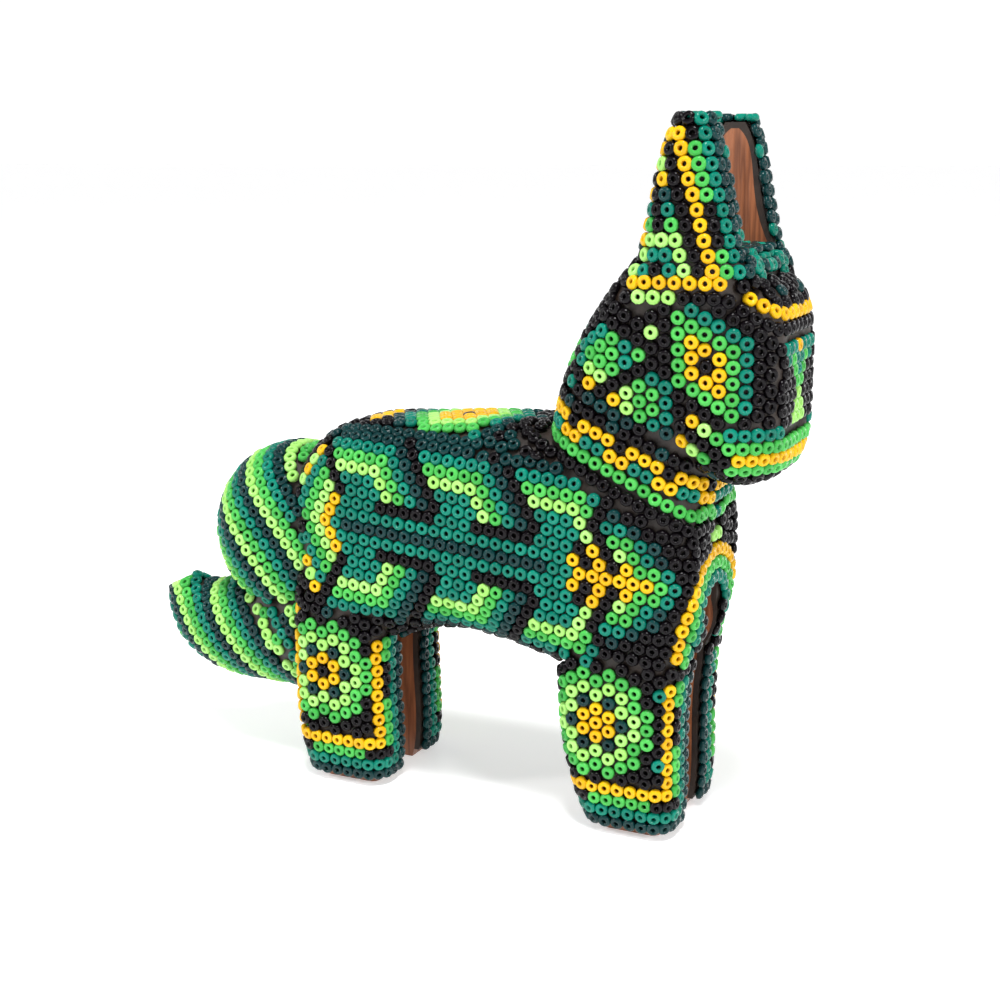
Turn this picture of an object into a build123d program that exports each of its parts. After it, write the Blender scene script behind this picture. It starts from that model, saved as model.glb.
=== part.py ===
"""Huichol beaded animal figure: a carved wood body and tail, coated in wax, with a coat of glass beads.

Millimetres. +X is forward (the nose), +Z is up and +Y is the animal's left. The origin is on the ground,
at the middle of the figure's bounding box. Each mass is described by its finished outside, at the tops
of the beads; the face of the wax and the wood are the same masses drawn inward.
"""

import math
import os

from build123d import *

# Layers, measured inward from the tops of the beads
BEAD_COAT = 1.3
WAX_COAT = 0.9
WAX_FACE = BEAD_COAT
WOOD_FACE = BEAD_COAT + WAX_COAT
SOLE_GAP = 1.4  # height of bare wood showing under the lowest beads

# Torso stations: (x, underside z, top z, half width, corner radius)
TORSO = [
    (-34.5, 27.0, 51.0, 8.0, 7.0),
    (-33.3, 22.5, 55.5, 10.6, 8.5),
    (-29.0, 20.0, 59.4, 12.2, 9.0),
    (-18.0, 24.0, 62.0, 13.0, 9.5),
    (-4.0, 28.0, 63.0, 13.2, 9.5),
    (12.0, 25.0, 63.0, 13.4, 9.5),
    (26.0, 23.0, 61.5, 13.2, 9.5),
    (33.0, 27.0, 58.5, 12.0, 8.5),
    (35.8, 33.0, 54.0, 9.5, 7.0),
]
# Muzzle stations, in the same order
MUZZLE = [
    (24.0, 61.0, 86.0, 13.4, 7.0),
    (36.0, 57.5, 87.2, 13.8, 7.0),
    (42.5, 56.4, 86.8, 13.0, 7.0),
    (46.0, 58.0, 84.6, 10.4, 7.0),
    (47.4, 61.0, 79.0, 7.0, 5.5),
]
# Leg stations: (z, back x, front x, half width over the pair, corner radius)
FRONT_LEGS = [
    (0.0, 18.6, 32.4, 11.6, 3.6),
    (5.0, 16.4, 33.2, 12.5, 4.0),
    (14.0, 14.0, 33.2, 12.9, 4.2),
    (26.0, 13.0, 33.8, 13.0, 4.5),
    (40.0, 13.5, 35.4, 12.8, 6.0),
]
REAR_LEGS = [
    (0.0, -32.2, -17.8, 11.4, 3.6),
    (5.0, -33.8, -17.0, 12.3, 4.0),
    (14.0, -34.8, -17.2, 12.7, 4.2),
    (26.0, -35.0, -17.0, 12.7, 4.5),
    (38.0, -34.4, -14.0, 12.6, 6.0),
]
# Neck and ear stations, in the same order
NECK = [
    (44.0, 5.0, 35.6, 12.6, 9.0),
    (55.0, 9.0, 37.0, 12.4, 9.0),
    (64.0, 10.8, 39.5, 13.0, 8.5),
    (74.0, 14.4, 42.0, 14.2, 8.0),
    (83.0, 20.0, 43.6, 15.0, 7.0),
    (89.0, 25.2, 42.4, 15.0, 6.0),
]
EARS = [
    (82.0, 23.6, 43.2, 14.8, 6.0),
    (92.0, 26.4, 40.8, 15.0, 4.8),
    (100.0, 28.2, 39.0, 14.8, 4.0),
    (105.5, 29.6, 37.8, 14.2, 3.4),
    (109.2, 31.0, 36.6, 13.0, 2.7),
]

# Saw cuts that leave bare wood between the legs and between the ears
LEG_SLOT = 7.2
EAR_SLOT = 17.0
FRONT_SLOT = [(8.0, -1.0), (40.0, -1.0), (40.0, 39.0), (33.0, 38.5), (8.0, 24.0)]
REAR_SLOT = [(-40.0, -1.0), (-10.0, -1.0), (-10.0, 27.0), (-18.0, 27.0), (-40.0, 24.0)]
EAR_SLOT_FLOOR = 89.5
EAR_SLOT_LENGTH = 40.0

# Tail: a round haunch against the rump, and a tip that curls up behind it
HAUNCH_CENTRE = (-38.5, 40.2)
HAUNCH_RADIUS = 15.6
HAUNCH_HALF_WIDTH = 10.4
HAUNCH_ROUNDING = 9.6
TIP_FLATTENING = 0.8
# Tip stations: (x, z, degrees that the axis dips below -X, radius)
TAIL_TIP = [
    (-30.0, 26.0, 14.0, 12.6),
    (-41.0, 23.0, 10.0, 11.4),
    (-50.0, 21.6, 4.0, 9.8),
    (-57.0, 22.0, -18.0, 8.4),
    (-62.0, 25.0, -46.0, 6.0),
    (-64.4, 28.4, -64.0, 3.4),
]
DOWEL_RADIUS = 3.0
DOWEL_LENGTH = 18.0
DOWEL_Z = 40.0

# Lines that divide the coats into regions
EAR_BASE = 89.5
COLLAR_PIVOT = (24.0, 61.5)  # a point on the collar's upper edge
COLLAR_DIP = 19.0  # degrees that the collar runs down towards the chest
COLLAR_DEPTH = 6.2
COLLAR_BACK = 9.9
LEG_TOP = 26.0
CHEST_X = 30.5
RUMP_X = -30.5
BACK_Z = 57.0
BELLY_Z = 33.0
BELLY_HALF = 7.6
REACH = 80.0  # beyond the figure on every side


def loft_along_x(stations, inset):
    """Lofts rounded rectangles standing across X, drawn inward all round by inset."""
    last = len(stations) - 1
    with BuildPart() as mass:
        for index, (x, low, high, half, corner) in enumerate(stations):
            end_shift = {0: inset, last: -inset}.get(index, 0.0)
            with BuildSketch(Plane.YZ.offset(x + end_shift)):
                with Locations((0, (low + high) / 2)):
                    RectangleRounded(2 * (half - inset), high - low - 2 * inset, corner - inset)
        loft()
    return mass.part


def loft_up_z(stations, inset, closed_top=False):
    """Lofts rounded rectangles lying across Z, drawn inward at the sides, and at a closed top."""
    last = len(stations) - 1
    with BuildPart() as mass:
        for index, (z, back, front, half, corner) in enumerate(stations):
            top_shift = -inset if closed_top and index == last else 0.0
            with BuildSketch(Plane.XY.offset(z + top_shift)):
                with Locations(((back + front) / 2, 0)):
                    RectangleRounded(front - back - 2 * inset, 2 * (half - inset), corner - inset)
        loft()
    return mass.part


def haunch_mass(inset):
    """A disc standing in line with the animal, its rims rounded nearly into a ball."""
    x, z = HAUNCH_CENTRE
    with BuildPart() as mass:
        with Locations(Location((x, 0, z), (90, 0, 0))):
            Cylinder(HAUNCH_RADIUS - inset, 2 * (HAUNCH_HALF_WIDTH - inset))
        fillet(mass.edges().filter_by(GeomType.CIRCLE), HAUNCH_ROUNDING - inset)
    return mass.part


def tip_mass(inset):
    """Lofts flattened circles along the curled axis of the tail's tip."""
    last = len(TAIL_TIP) - 1
    with BuildPart() as mass:
        for index, (x, z, dip, radius) in enumerate(TAIL_TIP):
            along = Vector(-math.cos(math.radians(dip)), 0, -math.sin(math.radians(dip)))
            centre = Vector(x, 0, z) - along * (inset if index == last else 0.0)
            with BuildSketch(Plane(origin=centre, x_dir=(0, 1, 0), z_dir=along)):
                Ellipse((radius - inset * 0.9) * TIP_FLATTENING, radius - inset * 0.9)
        loft()
    return mass.part


def tail_mass(inset):
    """The whole tail: haunch and tip."""
    with BuildPart() as mass:
        add(haunch_mass(inset))
        add(tip_mass(inset))
    return mass.part


def animal_mass(inset):
    """Torso, legs, neck, muzzle and ears as one block, before the saw cuts."""
    with BuildPart() as mass:
        add(loft_along_x(TORSO, inset))
        add(loft_up_z(FRONT_LEGS, inset))
        add(loft_up_z(REAR_LEGS, inset))
        add(loft_up_z(NECK, inset))
        add(loft_along_x(MUZZLE, inset))
        add(loft_up_z(EARS, inset, closed_top=True))
    return mass.part


def side_block(outline, half_width=REACH):
    """A block with a side outline in the XZ plane, reaching half_width each way across the animal."""
    with BuildPart() as block:
        with BuildSketch(Plane.XZ):
            with BuildLine():
                Polyline(*outline, close=True)
            make_face()
        extrude(amount=half_width, both=True)
    return block.part


def side_box(low_x, high_x, low_z, high_z, half_width=REACH):
    """A box seen from the side, reaching half_width each way across the animal."""
    corners = [(low_x, low_z), (high_x, low_z), (high_x, high_z), (low_x, high_z)]
    return side_block(corners, half_width)


def saw_cuts():
    """The gaps between the legs and between the ears."""
    with BuildPart() as cuts:
        add(side_block(FRONT_SLOT, LEG_SLOT / 2))
        add(side_block(REAR_SLOT, LEG_SLOT / 2))
        with BuildSketch(Plane.YZ):
            with Locations((0, EAR_SLOT_FLOOR)):
                SlotOverall(REACH, EAR_SLOT, rotation=90)
            with Locations((0, EAR_SLOT_FLOOR - REACH / 2)):
                Rectangle(REACH, REACH, mode=Mode.SUBTRACT)
        extrude(amount=REACH)
    return cuts.part


def collar_line(x, depth=0.0):
    """Height at x of a line in the collar's slope, depth below its upper edge."""
    slope = math.tan(math.radians(COLLAR_DIP))
    drop = depth / math.cos(math.radians(COLLAR_DIP))
    return COLLAR_PIVOT[1] - (x - COLLAR_PIVOT[0]) * slope - drop


def head_block():
    """Everything above the collar."""
    ends = (-REACH, REACH)
    top = [(ends[1], 2 * REACH), (ends[0], 2 * REACH)]
    return side_block([(x, collar_line(x)) for x in ends] + top)


def collar_block():
    """The sloping band round the neck."""
    ends = (COLLAR_BACK, REACH)
    upper = [(x, collar_line(x)) for x in ends]
    lower = [(x, collar_line(x, COLLAR_DEPTH)) for x in reversed(ends)]
    return side_block(upper + lower)


def half_space(side):
    """Everything on the animal's left (+1) or right (-1)."""
    with BuildPart() as block:
        with Locations((0, side * REACH, 0)):
            Box(4 * REACH, 2 * REACH, 4 * REACH)
    return block.part


SIDES = {"left": half_space(1), "right": half_space(-1)}


def one_piece(shape):
    """The largest solid of a cut, without the crumbs that two nearly level faces leave."""
    return max(shape.solids(), key=lambda solid: solid.volume)


def take(coat, block, name, by_side=False):
    """Moves what lies in block out of coat into NODES, as one node or as a left and a right one."""
    taken = coat & block
    if by_side:
        for side, half in SIDES.items():
            NODES[f"{name}_{side}"] = taken & half
    else:
        NODES[name] = taken
    return coat - block


def divide_beads(coat):
    """Divides the bead coat of the body into the regions that a beadworker fills one by one."""
    coat = take(coat, side_box(-REACH, REACH, EAR_BASE, 2 * REACH), "beads_ear", by_side=True)
    coat = take(coat, head_block(), "beads_head")
    coat = take(coat, collar_block(), "beads_collar")
    coat = take(coat, side_box(-REACH, -8.0, -REACH, LEG_TOP), "beads_rear_leg", by_side=True)
    coat = take(coat, side_box(8.0, REACH, -REACH, LEG_TOP), "beads_front_leg", by_side=True)
    coat = take(coat, side_box(CHEST_X, REACH, -REACH, REACH), "beads_chest")
    coat = take(coat, side_box(-REACH, RUMP_X, -REACH, REACH), "beads_rump")
    coat = take(coat, side_box(-REACH, REACH, -REACH, BELLY_Z, BELLY_HALF), "beads_belly")
    coat = take(coat, side_box(-REACH, REACH, BACK_Z, REACH), "beads_back")
    for side, half in SIDES.items():
        NODES[f"beads_flank_{side}"] = coat & half


def divide_wax(coat):
    """Divides the wax of the body where it would be pressed on sheet by sheet."""
    coat = take(coat, side_box(-REACH, REACH, EAR_BASE, 2 * REACH), "wax_ear", by_side=True)
    coat = take(coat, head_block(), "wax_head")
    coat = take(coat, side_box(-REACH, -8.0, -REACH, LEG_TOP), "wax_rear_leg", by_side=True)
    coat = take(coat, side_box(8.0, REACH, -REACH, LEG_TOP), "wax_front_leg", by_side=True)
    NODES["wax_torso"] = coat


NODES = {}


def main():
    """Builds every sub-part and writes one STEP for each."""
    outside = animal_mass(0.0)
    wax_face = animal_mass(WAX_FACE)
    wood_face = animal_mass(WOOD_FACE)
    tail_outside = tail_mass(0.0)
    tail_wax_face = tail_mass(WAX_FACE)
    tail_wood_face = tail_mass(WOOD_FACE)
    bare = saw_cuts() + side_box(-REACH, REACH, -REACH, SOLE_GAP)

    with BuildPart() as tail_dowel:
        with Locations(Location((RUMP_X - 4, 0, DOWEL_Z), (0, 90, 0))):
            Cylinder(DOWEL_RADIUS, DOWEL_LENGTH)
    NODES["tail_dowel"] = tail_dowel.part

    with BuildPart() as body_core:
        add(wood_face)
        add(saw_cuts(), mode=Mode.SUBTRACT)
        add(tail_dowel.part, mode=Mode.SUBTRACT)
    NODES["body_core"] = body_core.part

    with BuildPart() as tail_core:
        add(tail_wood_face)
        add(wood_face, mode=Mode.SUBTRACT)
        add(tail_dowel.part, mode=Mode.SUBTRACT)
    NODES["tail_core"] = tail_core.part

    with BuildPart() as tail_wax:
        add(tail_wax_face)
        add(tail_wood_face, mode=Mode.SUBTRACT)
        add(wood_face, mode=Mode.SUBTRACT)
    NODES["wax_tail"] = tail_wax.part

    with BuildPart() as tail_beads:
        add(tail_outside)
        add(tail_wax_face, mode=Mode.SUBTRACT)
        add(wax_face, mode=Mode.SUBTRACT)
    NODES["beads_tail"] = tail_beads.part

    with BuildPart() as body_wax:
        add(wax_face)
        add(wood_face, mode=Mode.SUBTRACT)
        add(tail_wax_face, mode=Mode.SUBTRACT)
        add(bare, mode=Mode.SUBTRACT)
    divide_wax(body_wax.part)

    with BuildPart() as body_beads:
        add(outside)
        add(wax_face, mode=Mode.SUBTRACT)
        add(tail_outside, mode=Mode.SUBTRACT)
        add(bare, mode=Mode.SUBTRACT)
    divide_beads(body_beads.part)

    nose_x = outside.bounding_box().max.X
    tail_x = tail_outside.bounding_box().min.X
    to_frame = Location((-(nose_x + tail_x) / 2, 0, 0))
    os.makedirs("parts", exist_ok=True)
    for name, node in NODES.items():
        piece = one_piece(node).moved(to_frame)
        piece.label = name
        export_step(piece, f"parts/{name}.step")
    print("frame shift", to_frame.position)


if __name__ == "__main__":
    main()
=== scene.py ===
"""A beaded wolf: carved wood, a skin of wax and some thousands of glass seed beads, hole outward.

The wood and the wax are the frame's own solids, finished here. The bead coats of the frame are stood for by
single beads, laid in the same fields of pattern in which they are pressed into the wax by hand.
All patterns are worked out in millimetres on the frame's bead coats, and made into meshes in metres.
"""

import logging
import math
from collections.abc import Callable, Iterable
from dataclasses import dataclass, field
from enum import Enum

import bpy
import numpy as np
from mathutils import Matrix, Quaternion, Vector
from mathutils.bvhtree import BVHTree


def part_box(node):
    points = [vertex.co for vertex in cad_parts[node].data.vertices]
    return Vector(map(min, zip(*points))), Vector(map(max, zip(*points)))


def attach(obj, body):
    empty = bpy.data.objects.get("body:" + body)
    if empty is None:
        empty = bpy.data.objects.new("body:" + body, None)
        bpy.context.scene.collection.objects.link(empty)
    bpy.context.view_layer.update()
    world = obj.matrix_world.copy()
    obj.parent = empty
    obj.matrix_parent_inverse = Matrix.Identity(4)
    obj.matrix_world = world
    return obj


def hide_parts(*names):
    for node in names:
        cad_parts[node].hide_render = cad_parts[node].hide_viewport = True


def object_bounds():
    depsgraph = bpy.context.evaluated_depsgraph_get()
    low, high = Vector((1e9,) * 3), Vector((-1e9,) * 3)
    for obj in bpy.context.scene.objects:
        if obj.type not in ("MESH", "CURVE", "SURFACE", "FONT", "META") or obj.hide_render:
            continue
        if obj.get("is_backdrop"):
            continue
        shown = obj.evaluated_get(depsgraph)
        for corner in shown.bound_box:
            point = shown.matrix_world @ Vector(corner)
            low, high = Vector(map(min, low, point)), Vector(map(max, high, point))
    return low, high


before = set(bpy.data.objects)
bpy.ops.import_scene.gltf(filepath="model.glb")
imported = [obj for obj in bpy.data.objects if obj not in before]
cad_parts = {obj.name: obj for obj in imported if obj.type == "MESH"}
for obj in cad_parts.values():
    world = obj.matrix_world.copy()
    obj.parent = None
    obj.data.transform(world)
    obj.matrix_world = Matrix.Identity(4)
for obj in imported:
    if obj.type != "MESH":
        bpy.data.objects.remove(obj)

logging.basicConfig(level=logging.INFO, format="%(message)s")
log = logging.getLogger("wolf")

Triple = tuple[float, float, float]
Cells = Iterable[tuple[np.ndarray | None, str]]

MM = 0.001  # metres in a millimetre, in which lengths are given unless they say otherwise
FORWARD = (1.0, 0.0, 0.0)
NEAR = (0.0, -1.0, 0.0)
UP = (0.0, 0.0, 1.0)

BEAD_ACROSS = 2.2
LEAST_DEPTH = 0.2  # of a coat's outer face over the wax
LEAST_FACING = 0.62  # cosine between that face's normal and the way out of the wax
RAYS = 150  # on each side of a slice's nought
JUMP = 2.2  # between two rays' ends, at which a slice stops
CROWDED = 1.64  # no bead of a chart is laid nearer than this to another
FILL_APART = 1.87  # nor a bead between the charts nearer than this
CANDIDATES = 70000
ON_MIDDLE = 0.95  # chart beads this near to the middle plane are laid on it
FILL_ON_MIDDLE = 0.25  # and beads between the charts this near
SEED = 11

TAIL_FACING = (-0.8, 0.0, -0.6)
TAIL_STRIPE = 1.88
TAIL_FIRST = 4.25
TAIL_LETTERS = "LDTG"


def unit(vector: np.ndarray) -> np.ndarray:
    """Rows of a vector array at length one."""
    return vector / np.maximum(np.linalg.norm(vector, axis=-1, keepdims=True), 1e-9)


def running(steps: np.ndarray) -> np.ndarray:
    """The running sum of steps, from nought."""
    return np.concatenate([[0.0], np.cumsum(steps)])


def add(name: str, data: bpy.types.ID) -> bpy.types.Object:
    """A new object in the scene, round a mesh, a lamp or a camera."""
    made = bpy.data.objects.new(name, data)
    bpy.context.scene.collection.objects.link(made)
    return made


class Glass(Enum):
    """The glasses, by the letter that stands for each in the charts."""

    BLACK = "B"
    DARK_TEAL = "D"
    TEAL = "T"
    GREEN = "G"
    LIGHT_GREEN = "L"
    YELLOW = "Y"


class Region(Enum):
    """The beaded fields, by the word that stands for each in the pieces' names."""

    HEAD = "head"
    EARS = "ears"
    COLLAR = "collar"
    CHEST = "chest"
    RUMP = "rump"
    FLANKS = "flanks"
    BACK = "back"
    BELLY = "belly"
    FRONT_LEGS = "front_legs"
    REAR_LEGS = "rear_legs"
    TAIL = "tail"

    @property
    def coats(self) -> list[str]:
        """The bead coats of the field: one, or a left and a right one."""
        stem = "beads_" + self.value.rstrip("s")
        return sorted(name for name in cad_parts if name.startswith(stem))


# ---------------------------------------------------------------- shader tools


@dataclass
class Value:
    """A shader socket that can stand in a sum.

    Args:
        graph: the node tree that the socket is in.
        socket: the output socket.
    """

    graph: "Graph"
    socket: bpy.types.NodeSocket

    def _with(self, operation: str, first: object, second: object) -> "Value":
        """One Math node on two operands."""
        node = self.graph.node("ShaderNodeMath", {"operation": operation}, {0: first, 1: second})
        return Value(self.graph, node.outputs[0])

    def __add__(self, other: object) -> "Value":
        """Sum."""
        return self._with("ADD", self, other)

    def __radd__(self, other: object) -> "Value":
        """Sum, number first."""
        return self._with("ADD", other, self)

    def __sub__(self, other: object) -> "Value":
        """Difference."""
        return self._with("SUBTRACT", self, other)

    def __rsub__(self, other: object) -> "Value":
        """Difference, number first."""
        return self._with("SUBTRACT", other, self)

    def __mul__(self, other: object) -> "Value":
        """Product."""
        return self._with("MULTIPLY", self, other)

    def __rmul__(self, other: object) -> "Value":
        """Product, number first."""
        return self._with("MULTIPLY", other, self)

    def __truediv__(self, other: object) -> "Value":
        """Quotient."""
        return self._with("DIVIDE", self, other)

    def folded(self, width: float) -> "Value":
        """The value running up and down between nought and a width."""
        return self._with("PINGPONG", self, width)

    def clamped(self) -> "Value":
        """The value held between nought and one."""
        node = self.graph.node("ShaderNodeClamp", {}, {"Value": self})
        return Value(self.graph, node.outputs[0])

    def between(self, low: float, high: float) -> "Value":
        """Nought below low, one above high, and a straight run between."""
        return ((self - low) / (high - low)).clamped()


@dataclass
class Graph:
    """The node tree of one material or sky.

    Args:
        material: the material or world that is being made.
    """

    material: bpy.types.Material | bpy.types.World

    @classmethod
    def start(cls, name: str) -> "Graph":
        """A new material with an empty tree."""
        material = bpy.data.materials.new(name)
        material.use_nodes = True
        material.node_tree.nodes.clear()
        return cls(material)

    def node(self, kind: str, settings: dict, sockets: dict) -> bpy.types.Node:
        """Makes a node.

        Args:
            kind: the node's type.
            settings: its properties, set first.
            sockets: its inputs, by name or number, each a Value, a socket or a plain number or colour.

        Returns:
            The node.
        """
        made = self.material.node_tree.nodes.new(kind)
        for key, setting in settings.items():
            setattr(made, key, setting)
        for key, given in sockets.items():
            source = given.socket if isinstance(given, Value) else given
            if isinstance(source, bpy.types.NodeSocket):
                self.material.node_tree.links.new(source, made.inputs[key])
            else:
                made.inputs[key].default_value = source
        return made

    def place(self, kind: str = "Object") -> bpy.types.NodeSocket:
        """Where a point is, in the object's own axes and metres, or the direction looked in for a sky."""
        return self.node("ShaderNodeTexCoord", {}, {}).outputs[kind]

    def stretched(self, scale: Triple, turn: Triple) -> bpy.types.NodeSocket:
        """The place turned and then multiplied along each axis."""
        sockets = {"Vector": self.place(), "Rotation": turn, "Scale": scale}
        return self.node("ShaderNodeMapping", {"vector_type": "POINT"}, sockets).outputs[0]

    def noise(self, where: bpy.types.NodeSocket, scale: float, detail: float) -> Value:
        """Cloudy noise, nought to one."""
        sockets = {"Vector": where, "Scale": scale, "Detail": detail, "Roughness": 0.55}
        return Value(self, self.node("ShaderNodeTexNoise", {}, sockets).outputs[0])

    def attribute(self, name: str) -> Value:
        """A number stored on the piece's points."""
        return Value(self, self.node("ShaderNodeAttribute", {"attribute_name": name}, {}).outputs["Fac"])

    def mix(self, factor: Value, first: object, second: object) -> bpy.types.NodeSocket:
        """One colour turning into another."""
        sockets = {0: factor, 6: first, 7: second}
        return self.node("ShaderNodeMix", {"data_type": "RGBA"}, sockets).outputs[2]

    def bump(self, height: Value, strength: float, distance: float) -> bpy.types.NodeSocket:
        """A normal tilted by a height, whose full step is distance metres."""
        sockets = {"Height": height, "Strength": strength, "Distance": distance}
        return self.node("ShaderNodeBump", {}, sockets).outputs[0]

    def end(self, sockets: dict) -> bpy.types.Material:
        """Closes the tree with one Principled shader."""
        shader = self.node("ShaderNodeBsdfPrincipled", {}, sockets)
        self.node("ShaderNodeOutputMaterial", {}, {0: shader.outputs[0]})
        return self.material


@dataclass(frozen=True)
class GlassFinish:
    """Opaque glass of one colour.

    Args:
        glass: which glass.
        pale: the colour of the lightest beads.
        deep: the colour of the darkest beads.
        inside: the painted shade colour, put down the hole and in the creases.
        coat: how strong the glossy top is.
    """

    glass: Glass
    pale: Triple
    deep: Triple
    inside: Triple
    coat: float = 0.1

    @property
    def slot(self) -> str:
        """The name of this glass's material and of its pieces."""
        return f"bead_{self.glass.name.lower()}"

    def material(self) -> bpy.types.Material:
        """Each bead takes its own tone; holes and creases are darkened with painted shade; faint draw marks
        rough the gloss.
        """
        graph = Graph.start(self.slot)
        tone = graph.attribute("tone")
        depth = graph.attribute("depth")
        streaks = graph.noise(graph.stretched((1, 1, 1), (0.3, 0.2, 0)), 900.0, 3.0)
        cloud = graph.noise(graph.place(), 220.0, 2.0)
        mixed = (tone * 0.7 + cloud * 0.3 + streaks * 0.12 - 0.06).clamped()
        body = graph.mix(mixed, (*self.deep, 1), (*self.pale, 1))
        # painted shade: the inside colour darkens the hole and the crease at the belt, by the per-point
        # mask
        colour = graph.mix(depth.between(0.15, 0.95), body, (*self.inside, 1))
        return graph.end(
            {
                "Base Color": colour,
                "Roughness": streaks * 0.1 + 0.06 + depth * 0.3,
                "Normal": graph.bump(cloud + streaks * 0.4, 0.25, 0.00006),
                "IOR": 1.5,
                "Specular IOR Level": 0.15,
                "Coat Weight": self.coat,
                "Coat Roughness": 0.05,
            }
        )


@dataclass(frozen=True)
class WoodFinish:
    """Reddish lacquered wood with the grain along one axis.

    Args:
        name: the material's name.
        light: the colour between the grain lines.
        dark: the colour of the grain lines.
        turn: how the grain is turned away from upright, in radians.
    """

    name: str
    light: Triple
    dark: Triple
    turn: Triple

    def material(self) -> bpy.types.Material:
        """Long rings and fine pores along the grain, saw marks across it, under a thin lacquer."""
        graph = Graph.start(self.name)
        rings = graph.noise(graph.stretched((1, 1, 0.07), self.turn), 420.0, 3.0)
        pores = graph.noise(graph.stretched((1, 1, 0.03), self.turn), 1800.0, 2.0)
        stain = graph.noise(graph.place(), 70.0, 2.0)
        line = (rings * 9.0).folded(1.0)
        grain = (line * 0.65 + pores * 0.5 - 0.1).clamped()
        warm = graph.mix(grain, (*self.dark, 1), (*self.light, 1))
        colour = graph.mix(stain.between(0.45, 0.75) * 0.45, warm, (*self.dark, 1))
        return graph.end(
            {
                "Base Color": colour,
                "Roughness": pores * 0.25 + 0.25,
                "Normal": graph.bump(line * 0.4 + pores, 0.5, 0.0001),
                "Coat Weight": 0.25,
                "Coat Roughness": 0.2,
            }
        )


@dataclass(frozen=True)
class WaxFinish:
    """Dark brown bees' wax, pressed flat by thumb.

    Args:
        light: the colour of the worn high spots.
        dark: the colour of the rest.
    """

    light: Triple
    dark: Triple

    def material(self) -> bpy.types.Material:
        """Smeared patches, a soft sheen and small dents."""
        graph = Graph.start("wax")
        smear = graph.noise(graph.stretched((1, 0.4, 1), (0, 0, 0.4)), 240.0, 4.0)
        dents = graph.noise(graph.place(), 700.0, 3.0)
        colour = graph.mix(smear.between(0.35, 0.75), (*self.dark, 1), (*self.light, 1))
        return graph.end(
            {
                "Base Color": colour,
                "Roughness": dents * 0.3 + 0.4,
                "Normal": graph.bump(dents + smear, 0.5, 0.0002),
            }
        )


@dataclass(frozen=True)
class PaperFinish:
    """The white sheet that the figure stands on.

    Args:
        white: its colour.
    """

    white: Triple

    def material(self) -> bpy.types.Material:
        """Nearly even, with a faint tooth."""
        graph = Graph.start("paper")
        tooth = graph.noise(graph.place(), 900.0, 2.0)
        colour = graph.mix(tooth * 0.1, (*self.white, 1), (0.9, 0.9, 0.91, 1))
        return graph.end(
            {
                "Base Color": colour,
                "Roughness": tooth * 0.1 + 0.3,
                "IOR": 1.35,
                "Emission Color": (1.0, 1.0, 1.0, 1.0),
                "Emission Strength": 0.4,
            }
        )


# ------------------------------------------------------------- the surface


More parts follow.
